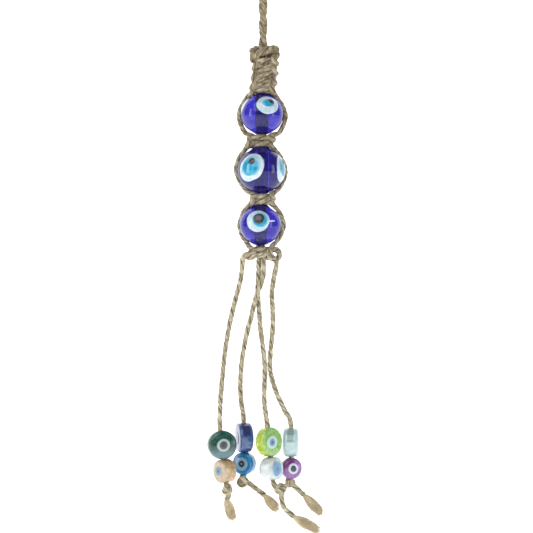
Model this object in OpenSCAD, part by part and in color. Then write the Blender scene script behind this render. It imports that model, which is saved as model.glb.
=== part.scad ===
// Evil eye hanging ornament: three big glass eye beads on a knotted hemp cord,
// with eight small disc beads on the four loose tails. Millimetres, +Z up.
// Origin: the inside top of the hanging loop, where a nail or hook carries it.
// +X is to the right and -Y is towards whoever looks at it.

/* [Twine] */
// Diameter of the hemp twine
twine_d = 2; // [1.6:0.1:2.1]
// How far one leg of the twisted pair is from the middle of the pair
twist_offset = 1.12; // [1.1:0.02:1.4]
// Height of half a turn of the twisted pair
half_turn = 8.6; // [7:0.2:11]

/* [Hanging loop] */
// Half the width of the loop, at the middle of its cord
loop_half_w = 6.9; // [5:0.1:9]

/* [Square knots] */
// Height of the square-knot column under the loop
sinnet_h = 19; // [17:0.5:19]
// Number of half knots in the column
sinnet_knots = 8; // [6:1:10]
// Front-to-back depth of the column
sinnet_depth = 5.8; // [5:0.1:6.4]
// Radius of the two knots between the big beads
joining_r = 2.4; // [2:0.1:2.4]
// Width of the two knots between the big beads
joining_w = 11.4; // [9:0.2:12]
// Front-to-back depth of the knot at the bottom
gathering_depth = 6; // [5:0.2:7]

/* [Big eye beads] */
// Radius of the upper bead
upper_r = 8.9; // [8.5:0.1:8.9]
// Radius of the middle bead
middle_r = 10; // [9.5:0.1:10]
// Radius of the lower bead
lower_r = 8.7; // [8.2:0.1:8.7]
// Radius of the hole that the two core cords pass through
big_bore_r = 2.3; // [2.2:0.05:2.6]
// Radius of the low collar round each end of that hole
collar_r = 3.1; // [2.8:0.1:3.6]

/* [Disc beads] */
// Radius of a disc in the upper row
big_disc_r = 6.2; // [5.6:0.1:6.2]
// Radius of a disc in the lower row
small_disc_r = 4.95; // [4.5:0.05:4.95]
// Radius of the hole drilled across each disc
disc_bore_r = 1.3; // [1.2:0.05:1.5]
// How far the front tails hang forward and the back tails hang back
stagger = 4.5; // [4.3:0.1:5]

/* [Tail ends] */
// Radius of each stopper knot
stopper_r = 2.3; // [2:0.1:2.5]
// Radius of the brush at the end of each frayed tail
fray_r = 2.4; // [1.8:0.1:3]

/* [Fits] */
// Half the height of the bare cord at each place where the cord bends
flex = 1; // [0.95:0.05:1.2]
// Gap between pieces of one body that lie face to face
touch_gap = 0.02; // [0.01:0.01:0.05]

/* [Hidden] */
$fn = 48;
SIDES = 8;

twine_r = twine_d / 2;
twine_color = [0.66, 0.60, 0.46];

// Heights, from the loop down
swing_z = -55.8;
twist_top_z = swing_z + 3 * half_turn;
sinnet_top = swing_z - flex;
sinnet_bottom = sinnet_top - sinnet_h;
upper_z = -85.1;
middle_z = -109.3;
lower_z = -132.8;
joining_upper_z = -96.7;
joining_lower_z = -121.6;
gathering_top = -141.8;
gathering_bottom = -147.3;
tail_swing_z = -148.4;
core_swing_z = -170;

// Sideways places of the big beads and the knots, which don't hang quite in line
upper_x = 0;
middle_x = -0.4;
lower_x = -0.7;
joining_upper_x = -1.4;
joining_lower_x = 0;
sinnet_left = -4.7;
sinnet_right = 6;

// The loose part of the loop above the twisted pair, left side upwards
loop_left = [
    [-2.4, 0, -26.5], [-4.4, 0, -21.5], [-6, 0, -16], [-loop_half_w, 0, -10.5],
    [-6.2, 0, -5], [-3.7, 0, -0.7]
];
loop_top = [0, 0, twine_r];

// The four tails. The last two points of each are the straight stretch through its two discs.
tail_1 = [
    [-8.4, 0, tail_swing_z - flex], [-9.2, -0.5, -156], [-11, -1, -163], [-13, -1.8, -171],
    [-14.6, -2.5, -179], [-16, -3.2, -188], [-16.9, -3.8, -197], [-17.7, -4.2, -206],
    [-18, -stagger, -213], [-18, -stagger, -219], [-15.5, -stagger, -243]
];
tail_2 = [
    [-4.4, -0.8, core_swing_z - flex], [-6, 0, -177], [-7.8, 1.2, -185.5], [-9, 2.4, -194],
    [-9.4, 3.4, -202], [-9, 4.2, -209.5], [-8, stagger, -217], [-7.6, stagger, -240.7]
];
tail_3 = [
    [-1.2, 0.8, core_swing_z - flex], [-0.8, 0, -177], [0.4, -1.2, -185.5], [1.2, -2.4, -194],
    [1, -3.4, -202], [1, -4.2, -209.5], [2.2, -stagger, -218], [4.7, -stagger, -243]
];
tail_4 = [
    [6.2, 0, tail_swing_z - flex], [5, 0.6, -156], [4.2, 1.2, -163], [4.7, 1.8, -172],
    [4.4, 2.4, -180], [3.6, 3, -188], [3.6, 3.4, -196], [6, 4, -204.5],
    [9.6, 4.3, -212.5], [12.4, stagger, -219], [12.6, stagger, -242.2]
];
// The two core tails cross between the bottom knot and the height where they can swing
top_2 = [
    [0.6, -0.7, gathering_bottom - touch_gap], [0.4, -1.2, -155], [-1.6, -1.3, -161],
    [-3.2, -1.2, -166], [-4, -1, core_swing_z + flex]
];
top_3 = [
    [-1.4, 0.8, gathering_bottom - touch_gap], [-1.6, 1.4, -155], [-1.9, 1.4, -161],
    [-1.6, 1.2, -166], [-1.3, 1, core_swing_z + flex]
];

// Eyes of a big bead: direction of the white dot, the blue one and the black one as
// [turn to the right, tilt up], then the radius of each and the turns of its three copies
upper_eyes = [[17, 26], [22, 30], [31, 34], 4.2, 2.9, 1.4, [0, 120, 240]];
middle_eyes = [[-24, 6], [-27, 12], [-22, 20], 5.65, 4, 1.7, [0, 103, 231]];
lower_eyes = [[-8, 12], [-4, 13], [-5, 17], 5, 3.8, 2.5, [0, 120, 240]];
eye_depth = 0.9;

// A disc: its tail, height, radius, thickness, turn to the right, eye radius
teal = [tail_1, -226.9, big_disc_r, 5.2, 16, 3];
navy = [tail_2, -224.5, big_disc_r, 5.9, -75, 3];
lime = [tail_3, -225.6, big_disc_r, 4.1, 47, 3.1];
aqua = [tail_4, -226.6, big_disc_r, 6.4, 88, 2.8];
amber = [tail_1, -238.1, small_disc_r, 5.2, -54, 2.3];
azure = [tail_2, -235.7, small_disc_r, 4.4, -26, 2.8];
white = [tail_3, -237, small_disc_r, 6, 61, 2.9];
purple = [tail_4, -237.8, 4.67, 4.6, 22, 2.3];
disc_eye_depth = 0.7;
disc_edge_r = 1.9;

// The loose end under each stopper knot: lean to the right, length of plain twine, of brush
end_1 = [19, 0.5, 11.5];
end_2 = [47, 8, 9.5];
end_3 = [47, 13, 13];
end_4 = [44, 6.5, 10.5];

// ---------- geometry helpers ----------

function unit(v) = v / norm(v);

function last(list) = list[len(list) - 1];

// Direction of a route at point i
function heading(route, i) =
    unit(route[min(i + 1, len(route) - 1)] - route[max(i - 1, 0)]);

// One ring of a tube, square to the route
function ring(route, i, r) =
    let (t = heading(route, i), side = unit(cross([0, 1, 0], t)), up = cross(t, side))
    [for (k = [0:SIDES - 1]) route[i]
        + r * (cos(360 * k / SIDES) * side + sin(360 * k / SIDES) * up)];

// Point of a disc stretch at height z
function on_line(route, z) =
    let (a = route[len(route) - 2], b = last(route)) a + (b - a) * (z - a[2]) / (b[2] - a[2]);

// Lean of a disc stretch, as a turn about Y
function lean(route) =
    let (d = unit(last(route) - route[len(route) - 2])) -asin(d[0]);

module tube(route, r = twine_r) {
    n = len(route);
    points = [for (i = [0:n - 1]) each ring(route, i, r)];
    walls = [
        for (i = [0:n - 2], k = [0:SIDES - 1])
            let (a = i * SIDES + k, b = i * SIDES + (k + 1) % SIDES) [b, a, a + SIDES, b + SIDES]
    ];
    caps = [[for (k = [0:SIDES - 1]) k], [for (k = [SIDES - 1:-1:0]) (n - 1) * SIDES + k]];
    polyhedron(points, concat(walls, caps));
}

// A round bar between two points that lie in one X-Z plane
module bar(from, to, r) {
    d = to - from;
    translate(from) rotate([0, atan2(d[0], d[2]), 0]) cylinder(h = norm(d), r = r);
}

// A cord bowed in one arc between two points, its middle [out to the side, back] from the chord
module bow(from, to, bulge) {
    chord = to - from;
    half = norm(chord) / 2;
    rise = norm(bulge);
    arc_r = (half * half + rise * rise) / (2 * rise);
    reach = 2 * asin(half / arc_r);
    translate((from + to) / 2)
        rotate([0, atan2(chord[0], chord[2]), 0])
            rotate([0, 0, atan2(bulge[1], bulge[0])])
                translate([rise - arc_r, 0, 0])
                    rotate([90, 0, 0])
                        rotate([0, 0, -reach / 2])
                            rotate_extrude(angle = reach) translate([arc_r, 0]) circle(twine_r);
}

// ---------- hanging loop ----------

// Middle of one leg of the twisted pair at height z, side is 1 or -1
function leg(z, side) =
    let (a = 180 * (swing_z - z) / half_turn)
    [side * twist_offset * cos(a), side * twist_offset * sin(a), z];

module hanging_loop() {
    steps = 12;
    low = swing_z + flex;
    heights = [for (k = [0:steps]) low + (twist_top_z - low) * k / steps];
    up = [for (z = heights) leg(z, 1)];
    down = [for (k = [steps:-1:0]) leg(heights[k], -1)];
    loop_right = [for (k = [len(loop_left) - 1:-1:0]) [-loop_left[k][0], 0, loop_left[k][2]]];
    color(twine_color) tube(concat(up, loop_left, [loop_top], loop_right, down));
}

// ---------- square knots ----------

// One half knot of the column: a slab with round sides
module half_knot(left, right, depth, h) {
    r = depth / 2;
    linear_extrude(h) {
        translate([left + r, 0]) circle(r);
        translate([right - r, 0]) circle(r);
        translate([left + r, -r]) square([right - left - depth, depth]);
    }
}

module sinnet() {
    pitch = sinnet_h / sinnet_knots;
    crease = 0.35;
    color(twine_color) difference() {
        for (k = [0:sinnet_knots - 1]) {
            top = k < 2;
            left = sinnet_left - (k % 2 == 1 ? 0.5 : 0) - (top ? 0.3 : 0);
            right = sinnet_right + (k % 2 == 0 ? 0.4 : 0) + (top ? 0.7 : 0);
            translate([0, 0, sinnet_top - (k + 1) * pitch]) {
                translate([0, 0, crease])
                    half_knot(left, right, sinnet_depth, pitch - crease);
                half_knot(sinnet_left + crease, sinnet_right - crease,
                    sinnet_depth - 2 * crease, crease);
            }
        }
        core_pair(upper_x, sinnet_bottom - 1, sinnet_top + 1, twine_r + touch_gap);
    }
}

// A knot between two big beads, round about the X axis so that the next bead can rock on it
module joining_knot(x, z) {
    round_over = 0.9;
    half = joining_w / 2;
    color(twine_color) translate([x, 0, z]) difference() {
        rotate([0, 90, 0]) rotate_extrude() polygon([
            [0, -half], [joining_r - round_over, -half], [joining_r, round_over - half],
            [joining_r, half - round_over], [joining_r - round_over, half], [0, half]
        ]);
        for (y = [-joining_r, joining_r])
            translate([-half - 1, y, 0]) rotate([0, 90, 0]) cylinder(h = joining_w + 2, r = 0.35);
    }
}

module joining_knot_upper() { joining_knot(joining_upper_x, joining_upper_z); }

module joining_knot_lower() { joining_knot(joining_lower_x, joining_lower_z); }

module gathering_knot() {
    h = (gathering_top - gathering_bottom) / 2;
    left_elbow = [-8.4, 0, -145.8];
    eye = 1.9;
    color(twine_color) {
        translate([0, 0, gathering_bottom]) half_knot(-5, 5.2, gathering_depth, h);
        translate([0, 0, gathering_bottom + h]) half_knot(-4.6, 5.6, gathering_depth - 0.6, h);
        bar([-4, 0, -144.4], left_elbow, twine_r);
        translate(left_elbow) sphere(twine_r);
        bar(left_elbow, [-8.4, 0, tail_swing_z + flex], twine_r);
        translate([6.2, 0, tail_swing_z + flex + eye]) rotate([90, 0, 0]) rotate([0, 0, -90])
            rotate_extrude(angle = 180) translate([eye, 0]) circle(twine_r);
    }
}

// ---------- core and side cords ----------

// Two core cords side by side
module core_pair(x, bottom, top, r) {
    for (side = [-1, 1])
        translate([x + side * (twine_r + 0.03), 0, bottom]) cylinder(h = top - bottom, r = r);
}

module core_cords_upper() {
    color(twine_color)
        core_pair(upper_x, joining_upper_z + joining_r + touch_gap, sinnet_top, twine_r);
}

module core_cords_middle() {
    color(twine_color) core_pair(middle_x, joining_lower_z + joining_r + touch_gap,
        joining_upper_z - joining_r - 0.2, twine_r);
}

module core_cords_lower() {
    color(twine_color) core_pair(lower_x, gathering_top + touch_gap,
        joining_lower_z - joining_r - 0.2, twine_r);
}

module side_cord_upper_left() {
    color(twine_color) bow([-6.1, 0.8, -93.4], [-5.9, 0.4, -76.2], [-3.9, 2.6]);
}

module side_cord_upper_right() {
    color(twine_color) bow([5.4, 0.8, -93.8], [5.6, 0.4, -76.6], [4.3, 2]);
}

module side_cord_middle_left() {
    color(twine_color) bow([-6.6, 0.6, -118.5], [-7.4, 0.6, -100], [-4.5, 1.6]);
}

module side_cord_middle_right() {
    color(twine_color) bow([6.2, 0.8, -118.5], [5.8, 0.8, -100], [4.3, 4]);
}

module side_cord_lower_left() {
    color(twine_color) bow([-6.4, 0.8, -141], [-6.7, 0.8, -125], [-3.4, 3.4]);
}

module side_cord_lower_right() {
    color(twine_color) bow([5.6, 0.6, -141], [5.8, 0.6, -125], [3.6, 1.4]);
}

// ---------- big eye beads ----------

// A rod of radius r through the middle of a big bead's surface, in direction [turn, tilt]
module dot_rod(direction, bead_r, r) {
    floor_d = sqrt(bead_r * bead_r - r * r) - eye_depth;
    rotate([0, 0, direction[0]]) rotate([90 - direction[1], 0, 0])
        translate([0, 0, floor_d]) cylinder(h = bead_r, r = r);
}

// The rods of the three like dots, turned round the bore
module dot_rods(direction, bead_r, r, turns) {
    for (turn = turns) dot_rod([direction[0] + turn, direction[1]], bead_r, r);
}

module eye_bead(x, z, r, eyes, tint) {
    collar = sqrt(r * r - collar_r * collar_r) + 0.3;
    color(tint) translate([x, 0, z]) difference() {
        union() {
            sphere(r, $fn = 96);
            translate([0, 0, -collar]) cylinder(h = 2 * collar, r = collar_r);
        }
        translate([0, 0, -r - 1]) cylinder(h = 2 * r + 2, r = big_bore_r);
        for (k = [0:2]) dot_rods(eyes[k], r, eyes[k + 3], eyes[6]);
    }
}

// The three dots of one layer, less the layers that lie on them
module eye_dots(x, z, r, eyes, layer, tint) {
    color(tint) translate([x, 0, z]) difference() {
        intersection() {
            sphere(r, $fn = 96);
            dot_rods(eyes[layer], r, eyes[layer + 3], eyes[6]);
        }
        if (layer < 2) for (k = [layer + 1:2]) dot_rods(eyes[k], r, eyes[k + 3], eyes[6]);
    }
}

module eye_bead_upper() { eye_bead(upper_x, upper_z, upper_r, upper_eyes, [0.1, 0.1, 0.6, 0.8]); }
module eye_white_upper() { eye_dots(upper_x, upper_z, upper_r, upper_eyes, 0, "white"); }
module eye_iris_upper() { eye_dots(upper_x, upper_z, upper_r, upper_eyes, 1, "deepskyblue"); }
module eye_pupil_upper() { eye_dots(upper_x, upper_z, upper_r, upper_eyes, 2, "black"); }

module eye_bead_middle() {
    eye_bead(middle_x, middle_z, middle_r, middle_eyes, [0.1, 0.1, 0.6, 0.8]);
}
module eye_white_middle() { eye_dots(middle_x, middle_z, middle_r, middle_eyes, 0, "white"); }
module eye_iris_middle() { eye_dots(middle_x, middle_z, middle_r, middle_eyes, 1, "deepskyblue"); }
module eye_pupil_middle() { eye_dots(middle_x, middle_z, middle_r, middle_eyes, 2, "black"); }

module eye_bead_lower() { eye_bead(lower_x, lower_z, lower_r, lower_eyes, [0.1, 0.1, 0.6, 0.8]); }
module eye_white_lower() { eye_dots(lower_x, lower_z, lower_r, lower_eyes, 0, "white"); }
module eye_iris_lower() { eye_dots(lower_x, lower_z, lower_r, lower_eyes, 1, "deepskyblue"); }
module eye_pupil_lower() { eye_dots(lower_x, lower_z, lower_r, lower_eyes, 2, "black"); }

// ---------- tails ----------

module tail_cord_1() { color(twine_color) tube(tail_1); }
module tail_cord_2() { color(twine_color) tube(tail_2); }
module tail_cord_3() { color(twine_color) tube(tail_3); }
module tail_cord_4() { color(twine_color) tube(tail_4); }
module tail_top_2() { color(twine_color) tube(top_2); }
module tail_top_3() { color(twine_color) tube(top_3); }

// Middle of the stopper knot under a tail
function stopper_at(route) =
    let (a = route[len(route) - 2], b = last(route)) b + (stopper_r + touch_gap) * unit(b - a);

module stopper(route) { color(twine_color) translate(stopper_at(route)) sphere(stopper_r); }

// Plain twine, then a brush that widens, leaning to the right by end[0] degrees
module frayed_end(route, end) {
    start = stopper_r + touch_gap + 0.1;
    color(twine_color) translate(stopper_at(route)) rotate([0, 180 - end[0], 0]) {
        translate([0, 0, start]) cylinder(h = end[1], r = twine_r);
        translate([0, 0, start + end[1]]) cylinder(h = end[2], r1 = twine_r, r2 = fray_r);
    }
}

module tail_knot_1() { stopper(tail_1); }
module tail_knot_2() { stopper(tail_2); }
module tail_knot_3() { stopper(tail_3); }
module tail_knot_4() { stopper(tail_4); }
module tail_fray_1() { frayed_end(tail_1, end_1); }
module tail_fray_2() { frayed_end(tail_2, end_2); }
module tail_fray_3() { frayed_end(tail_3, end_3); }
module tail_fray_4() { frayed_end(tail_4, end_4); }

// ---------- disc beads ----------

// Puts a disc in place: its hole along Z and its face towards -Y before it is turned
module place_disc(disc) {
    translate(on_line(disc[0], disc[1])) rotate([0, lean(disc[0]), 0]) rotate([0, 0, disc[4]])
        children();
}

// The round inlays of both faces
module face_eyes(disc, r) {
    for (side = [-1, 1])
        rotate([90, 0, 0]) translate([0, 0, side * (disc[3] - disc_eye_depth) / 2])
            cylinder(h = disc_eye_depth, r = r, center = true);
}

// Half the cross-section of a disc: a slab with rounded edges
module disc_profile(r, thick) {
    flat_r = r - disc_edge_r;
    flat_h = thick / 2 - disc_edge_r;
    for (side = [-1, 1]) translate([flat_r, side * flat_h]) circle(disc_edge_r);
    translate([0, -thick / 2]) square([flat_r, thick]);
    translate([0, -flat_h]) square([r, 2 * flat_h]);
}

module disc_body(disc, tint) {
    color(tint) place_disc(disc) difference() {
        rotate([90, 0, 0]) rotate_extrude() disc_profile(disc[2], disc[3]);
        cylinder(h = 2 * disc[2] + 2, r = disc_bore_r, center = true);
        face_eyes(disc, disc[5]);
    }
}

module disc_eyes(disc, tint) {
    color(tint) place_disc(disc) face_eyes(disc, disc[5] - touch_gap);
}

module disc_teal() { disc_body(teal, "seagreen"); }
module disc_teal_eyes() { disc_eyes(teal, "whitesmoke"); }
module disc_navy() { disc_body(navy, "midnightblue"); }
module disc_navy_eyes() { disc_eyes(navy, "white"); }
module disc_lime() { disc_body(lime, "yellowgreen"); }
module disc_lime_eyes() { disc_eyes(lime, "white"); }
module disc_aqua() { disc_body(aqua, "paleturquoise"); }
module disc_aqua_eyes() { disc_eyes(aqua, "white"); }
module disc_amber() { disc_body(amber, "peru"); }
module disc_amber_eyes() { disc_eyes(amber, "steelblue"); }
module disc_azure() { disc_body(azure, "dodgerblue"); }
module disc_azure_eyes() { disc_eyes(azure, "lightsteelblue"); }
module disc_white() { disc_body(white, "white"); }
module disc_white_eyes() { disc_eyes(white, "royalblue"); }
module disc_purple() { disc_body(purple, "purple"); }
module disc_purple_eyes() { disc_eyes(purple, "white"); }

// ---------- nodes ----------

hanging_loop();
sinnet();
core_cords_upper();
side_cord_upper_left();
side_cord_upper_right();
joining_knot_upper();
eye_bead_upper();
eye_white_upper();
eye_iris_upper();
eye_pupil_upper();
core_cords_middle();
side_cord_middle_left();
side_cord_middle_right();
joining_knot_lower();
eye_bead_middle();
eye_white_middle();
eye_iris_middle();
eye_pupil_middle();
core_cords_lower();
side_cord_lower_left();
side_cord_lower_right();
gathering_knot();
tail_top_2();
tail_top_3();
eye_bead_lower();
eye_white_lower();
eye_iris_lower();
eye_pupil_lower();
tail_cord_1();
tail_cord_2();
tail_cord_3();
tail_cord_4();
tail_knot_1();
tail_knot_2();
tail_knot_3();
tail_knot_4();
tail_fray_1();
tail_fray_2();
tail_fray_3();
tail_fray_4();
disc_teal();
disc_teal_eyes();
disc_navy();
disc_navy_eyes();
disc_lime();
disc_lime_eyes();
disc_aqua();
disc_aqua_eyes();
disc_amber();
disc_amber_eyes();
disc_azure();
disc_azure_eyes();
disc_white();
disc_white_eyes();
disc_purple();
disc_purple_eyes();
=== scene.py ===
# %% [markdown]
# # An evil eye ornament
# Three round glass beads with melted-on eyes hang on a folded hemp cord. A second cord is tied
# round the first in square knots and bows round each bead. Four loose tails carry eight small
# disc beads. All work is in metres, in the same frame as the CAD model: +Z is up and -Y faces the
# viewer. The origin is the inside top of the hanging loop.

# %% Load the fixed frame
import math
import random

import bpy
import numpy as np
from mathutils import Matrix, Vector


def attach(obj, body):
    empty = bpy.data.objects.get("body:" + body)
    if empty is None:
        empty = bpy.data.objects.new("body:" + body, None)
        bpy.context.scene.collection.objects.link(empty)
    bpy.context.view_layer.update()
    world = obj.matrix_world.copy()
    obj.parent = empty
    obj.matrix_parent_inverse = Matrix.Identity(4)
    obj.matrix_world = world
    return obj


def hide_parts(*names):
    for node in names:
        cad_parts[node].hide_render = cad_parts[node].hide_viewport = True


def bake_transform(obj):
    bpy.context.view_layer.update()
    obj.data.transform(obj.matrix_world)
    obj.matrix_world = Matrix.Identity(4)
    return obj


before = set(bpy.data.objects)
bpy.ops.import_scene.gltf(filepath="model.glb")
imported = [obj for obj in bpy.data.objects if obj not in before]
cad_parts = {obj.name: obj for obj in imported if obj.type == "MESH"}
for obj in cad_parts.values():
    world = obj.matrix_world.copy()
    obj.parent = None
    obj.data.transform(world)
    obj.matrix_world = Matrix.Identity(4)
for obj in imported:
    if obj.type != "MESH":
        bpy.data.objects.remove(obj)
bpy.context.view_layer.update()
MM = 0.001


# %% [markdown]
# ## The camera
# A long lens gives nearly parallel lines of sight, as a product picture has. The camera looks
# level, straight at the middle of the ornament. The loop at the top stays above the frame.

# %% Camera
VIEW_HEIGHT = 229.2 * MM
VIEW_MIDDLE = (1.9 * MM, 0, -150.6 * MM)
CAMERA_DISTANCE = 0.9
bpy.ops.object.select_all(action="DESELECT")
bpy.ops.object.camera_add(
    location=(VIEW_MIDDLE[0], -CAMERA_DISTANCE, VIEW_MIDDLE[2]), rotation=(math.pi / 2, 0, 0)
)
camera = bpy.context.object
camera.data.angle = 2 * math.atan(VIEW_HEIGHT / 2 / CAMERA_DISTANCE)
camera.data.clip_start = 0.05
bpy.context.scene.camera = camera


# %% [markdown]
# ## Routes
# A cord is a fixed length of something that bends, so each cord starts as a route: a few given
# points. A Catmull-Rom curve passes through every one of them without a corner, and it is
# then cut into even steps, so that the twist of the twine stays even too.

# %% Route helpers
STEP = 0.4  # mm between rings of twine


def smooth_route(points, step=STEP):
    """A Catmull-Rom curve through the points, in mm, cut into even steps."""
    p = np.array(points, float)
    ends = np.vstack([2 * p[0] - p[1], p, 2 * p[-1] - p[-2]])
    fine = []
    for a, b, c, d in zip(ends[:-3], ends[1:-2], ends[2:-1], ends[3:]):
        t = np.linspace(0, 1, 24, endpoint=False)[:, None]
        fine.append(
            0.5 * (2 * b + (c - a) * t + (2 * a - 5 * b + 4 * c - d) * t**2
                   + (3 * b - a - 3 * c + d) * t**3)
        )
    fine = np.vstack(fine + [p[-1:]])
    along = np.concatenate([[0], np.cumsum(np.linalg.norm(np.diff(fine, axis=0), axis=1))])
    cuts = np.linspace(0, along[-1], max(int(along[-1] / step), 3) + 1)
    return np.column_stack([np.interp(cuts, along, fine[:, k]) for k in range(3)])


def route_length(route):
    return float(np.linalg.norm(np.diff(route, axis=0), axis=1).sum())


def frames_along(route):
    """Headings and two side directions that turn as little as possible along the route."""
    heading = np.gradient(route, axis=0)
    heading /= np.linalg.norm(heading, axis=1)[:, None]
    side = np.cross(heading[0], [0, 1, 0.01])
    side /= np.linalg.norm(side)
    sides = [side]
    for h in heading[1:]:
        side = sides[-1] - h * (sides[-1] @ h)
        sides.append(side / np.linalg.norm(side))
    sides = np.array(sides)
    return heading, sides, np.cross(heading, sides)


# %% [markdown]
# ## Twine
# Hemp twine is two yarns laid round each other and pressed together, so its section is a circle
# with two grooves that wind along it. A smooth tube with a bump map looks like wire from close
# by. Here the rings of the tube turn with the lay, two of their points stay at the bottom of the
# grooves, and every other one wanders a little in and out, as a bundle of fibres does. Loose
# fibres stand off it. A UV map follows the lay, so that the material can run along it.

# %% Mesh helpers
class Build:
    """Collects points, faces and UVs in mm, then makes one mesh object of them."""

    def __init__(self):
        self.points, self.faces, self.uvs, self.count = [], [], [], 0

    def add_tube(self, route, radius, sides, seed=0, turn=0.0, v_start=0.0):
        """A closed tube. radius is one value, or one for each ring, or one for each point."""
        n = len(route)
        _, u_dir, v_dir = frames_along(route)
        along = np.concatenate([[0], np.cumsum(np.linalg.norm(np.diff(route, axis=0), axis=1))])
        angle = np.arange(sides) * 2 * np.pi / sides + np.reshape(turn, (-1, 1))
        r = np.asarray(radius, float)
        r = np.broadcast_to(r if r.ndim == 2 else np.reshape(r, (-1, 1)), (n, sides))
        angle = np.broadcast_to(angle, (n, sides))
        ring = (route[:, None] + r[..., None] * (np.cos(angle)[..., None] * u_dir[:, None]
                                                 + np.sin(angle)[..., None] * v_dir[:, None]))
        self.points.append(ring.reshape(-1, 3))
        base = self.count
        shift = seed % 40
        for i in range(n - 1):
            v0, v1 = v_start + along[i] / 10, v_start + along[i + 1] / 10
            for k in range(sides):
                a, b = base + i * sides + k, base + i * sides + (k + 1) % sides
                self.faces.append((a, b, b + sides, a + sides))
                u0, u1 = shift + k / sides, shift + (k + 1) / sides
                self.uvs.append(((u0, v0), (u1, v0), (u1, v1), (u0, v1)))
        self.faces.append(tuple(base + k for k in range(sides - 1, -1, -1)))
        self.faces.append(tuple(base + (n - 1) * sides + k for k in range(sides)))
        self.uvs += [((shift, v_start),) * sides] * 2
        self.count += n * sides

    def finish(self, name, material):
        mesh = bpy.data.meshes.new(name)
        mesh.from_pydata((np.vstack(self.points) * MM).tolist(), [], self.faces)
        layer = mesh.uv_layers.new(name="thread")
        layer.data.foreach_set("uv", np.array([c for f in self.uvs for uv in f for c in uv]))
        mesh.polygons.foreach_set("use_smooth", [True] * len(mesh.polygons))
        mesh.materials.append(material)
        piece = bpy.data.objects.new(name, mesh)
        bpy.context.collection.objects.link(piece)
        return piece


TWINE_R = 1.04
LAY = 10.5  # mm for one turn of the two yarns
TWINE_SIDES = 20


def add_fibres(build, route, count, seed, reach=2.6, radius=TWINE_R):
    """Loose fibres that leave the twine at a low angle and curl."""
    rng = random.Random(seed)
    heading, u_dir, v_dir = frames_along(route)
    for _ in range(count):
        i = rng.randrange(len(route))
        around = rng.uniform(0, 2 * math.pi)
        out = math.cos(around) * u_dir[i] + math.sin(around) * v_dir[i]
        way = heading[i] * rng.choice((-1, 1))
        length = rng.uniform(0.35, 1) ** 1.6 * reach
        lift = rng.uniform(0.15, 0.75)
        curl = np.array([rng.uniform(-0.35, 0.35) for _ in range(3)])
        t = np.linspace(0, 1, 5)[:, None]
        fibre = (route[i] + out * radius * 0.7 + way * length * t
                 + out * length * lift * t**1.3 * 0.6 + curl * length * t**2)
        build.add_tube(fibre, np.linspace(0.05, 0.02, 5), 3, seed=rng.randrange(40))


def add_twine(build, route, seed, radius=TWINE_R, hair=0.9, phase=0.0, groove=0.36):
    """Two pressed yarns along the route, laid S-wise, with loose fibres."""
    along = np.concatenate([[0], np.cumsum(np.linalg.norm(np.diff(route, axis=0), axis=1))])
    n = len(route)
    rng = np.random.RandomState(seed)

    def wander(spacing, amount, columns):
        low_res = rng.uniform(-amount, amount, (int(along[-1] / spacing) + 3, columns))
        at = along / spacing
        low = at.astype(int)
        mix = (at - low)[:, None]
        return low_res[low] * (1 - mix) + low_res[low + 1] * mix

    turn = phase - 2 * np.pi * along / LAY + wander(9, 0.45, 1)[:, 0]
    around = np.arange(TWINE_SIDES) * 2 * np.pi / TWINE_SIDES
    from_groove = np.abs((around + np.pi / 2) % np.pi - np.pi / 2)
    section = 1.04 - groove * np.exp(-((from_groove / 0.36) ** 2))
    thick = np.broadcast_to(radius, (n,)) * (1 + wander(6, 0.045, 1)[:, 0])
    r = thick[:, None] * (section + wander(2.6, 0.065, TWINE_SIDES))
    build.add_tube(route, r, TWINE_SIDES, seed=seed, turn=turn, v_start=seed * 0.7)
    add_fibres(build, route, int(along[-1] * hair), seed, radius=float(np.mean(thick)))


# %% [markdown]
# ## Shader maths
# A material here is arithmetic on textures. A small class wraps a socket, so that `noise * 0.5 +
# 0.2` adds the Math nodes by itself, and one method makes any other node.

# %% The shader class
class Sock:
    """A node socket that takes part in Python arithmetic."""

    def __init__(self, paint, socket):
        self.paint, self.socket = paint, socket

    def maths(self, operation, a, b):
        return self.paint.maths(operation, a, b)

    def __add__(self, other):
        return self.maths("ADD", self, other)

    def __radd__(self, other):
        return self.maths("ADD", other, self)

    def __sub__(self, other):
        return self.maths("SUBTRACT", self, other)

    def __rsub__(self, other):
        return self.maths("SUBTRACT", other, self)

    def __mul__(self, other):
        return self.maths("MULTIPLY", self, other)

    def __rmul__(self, other):
        return self.maths("MULTIPLY", other, self)


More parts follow.
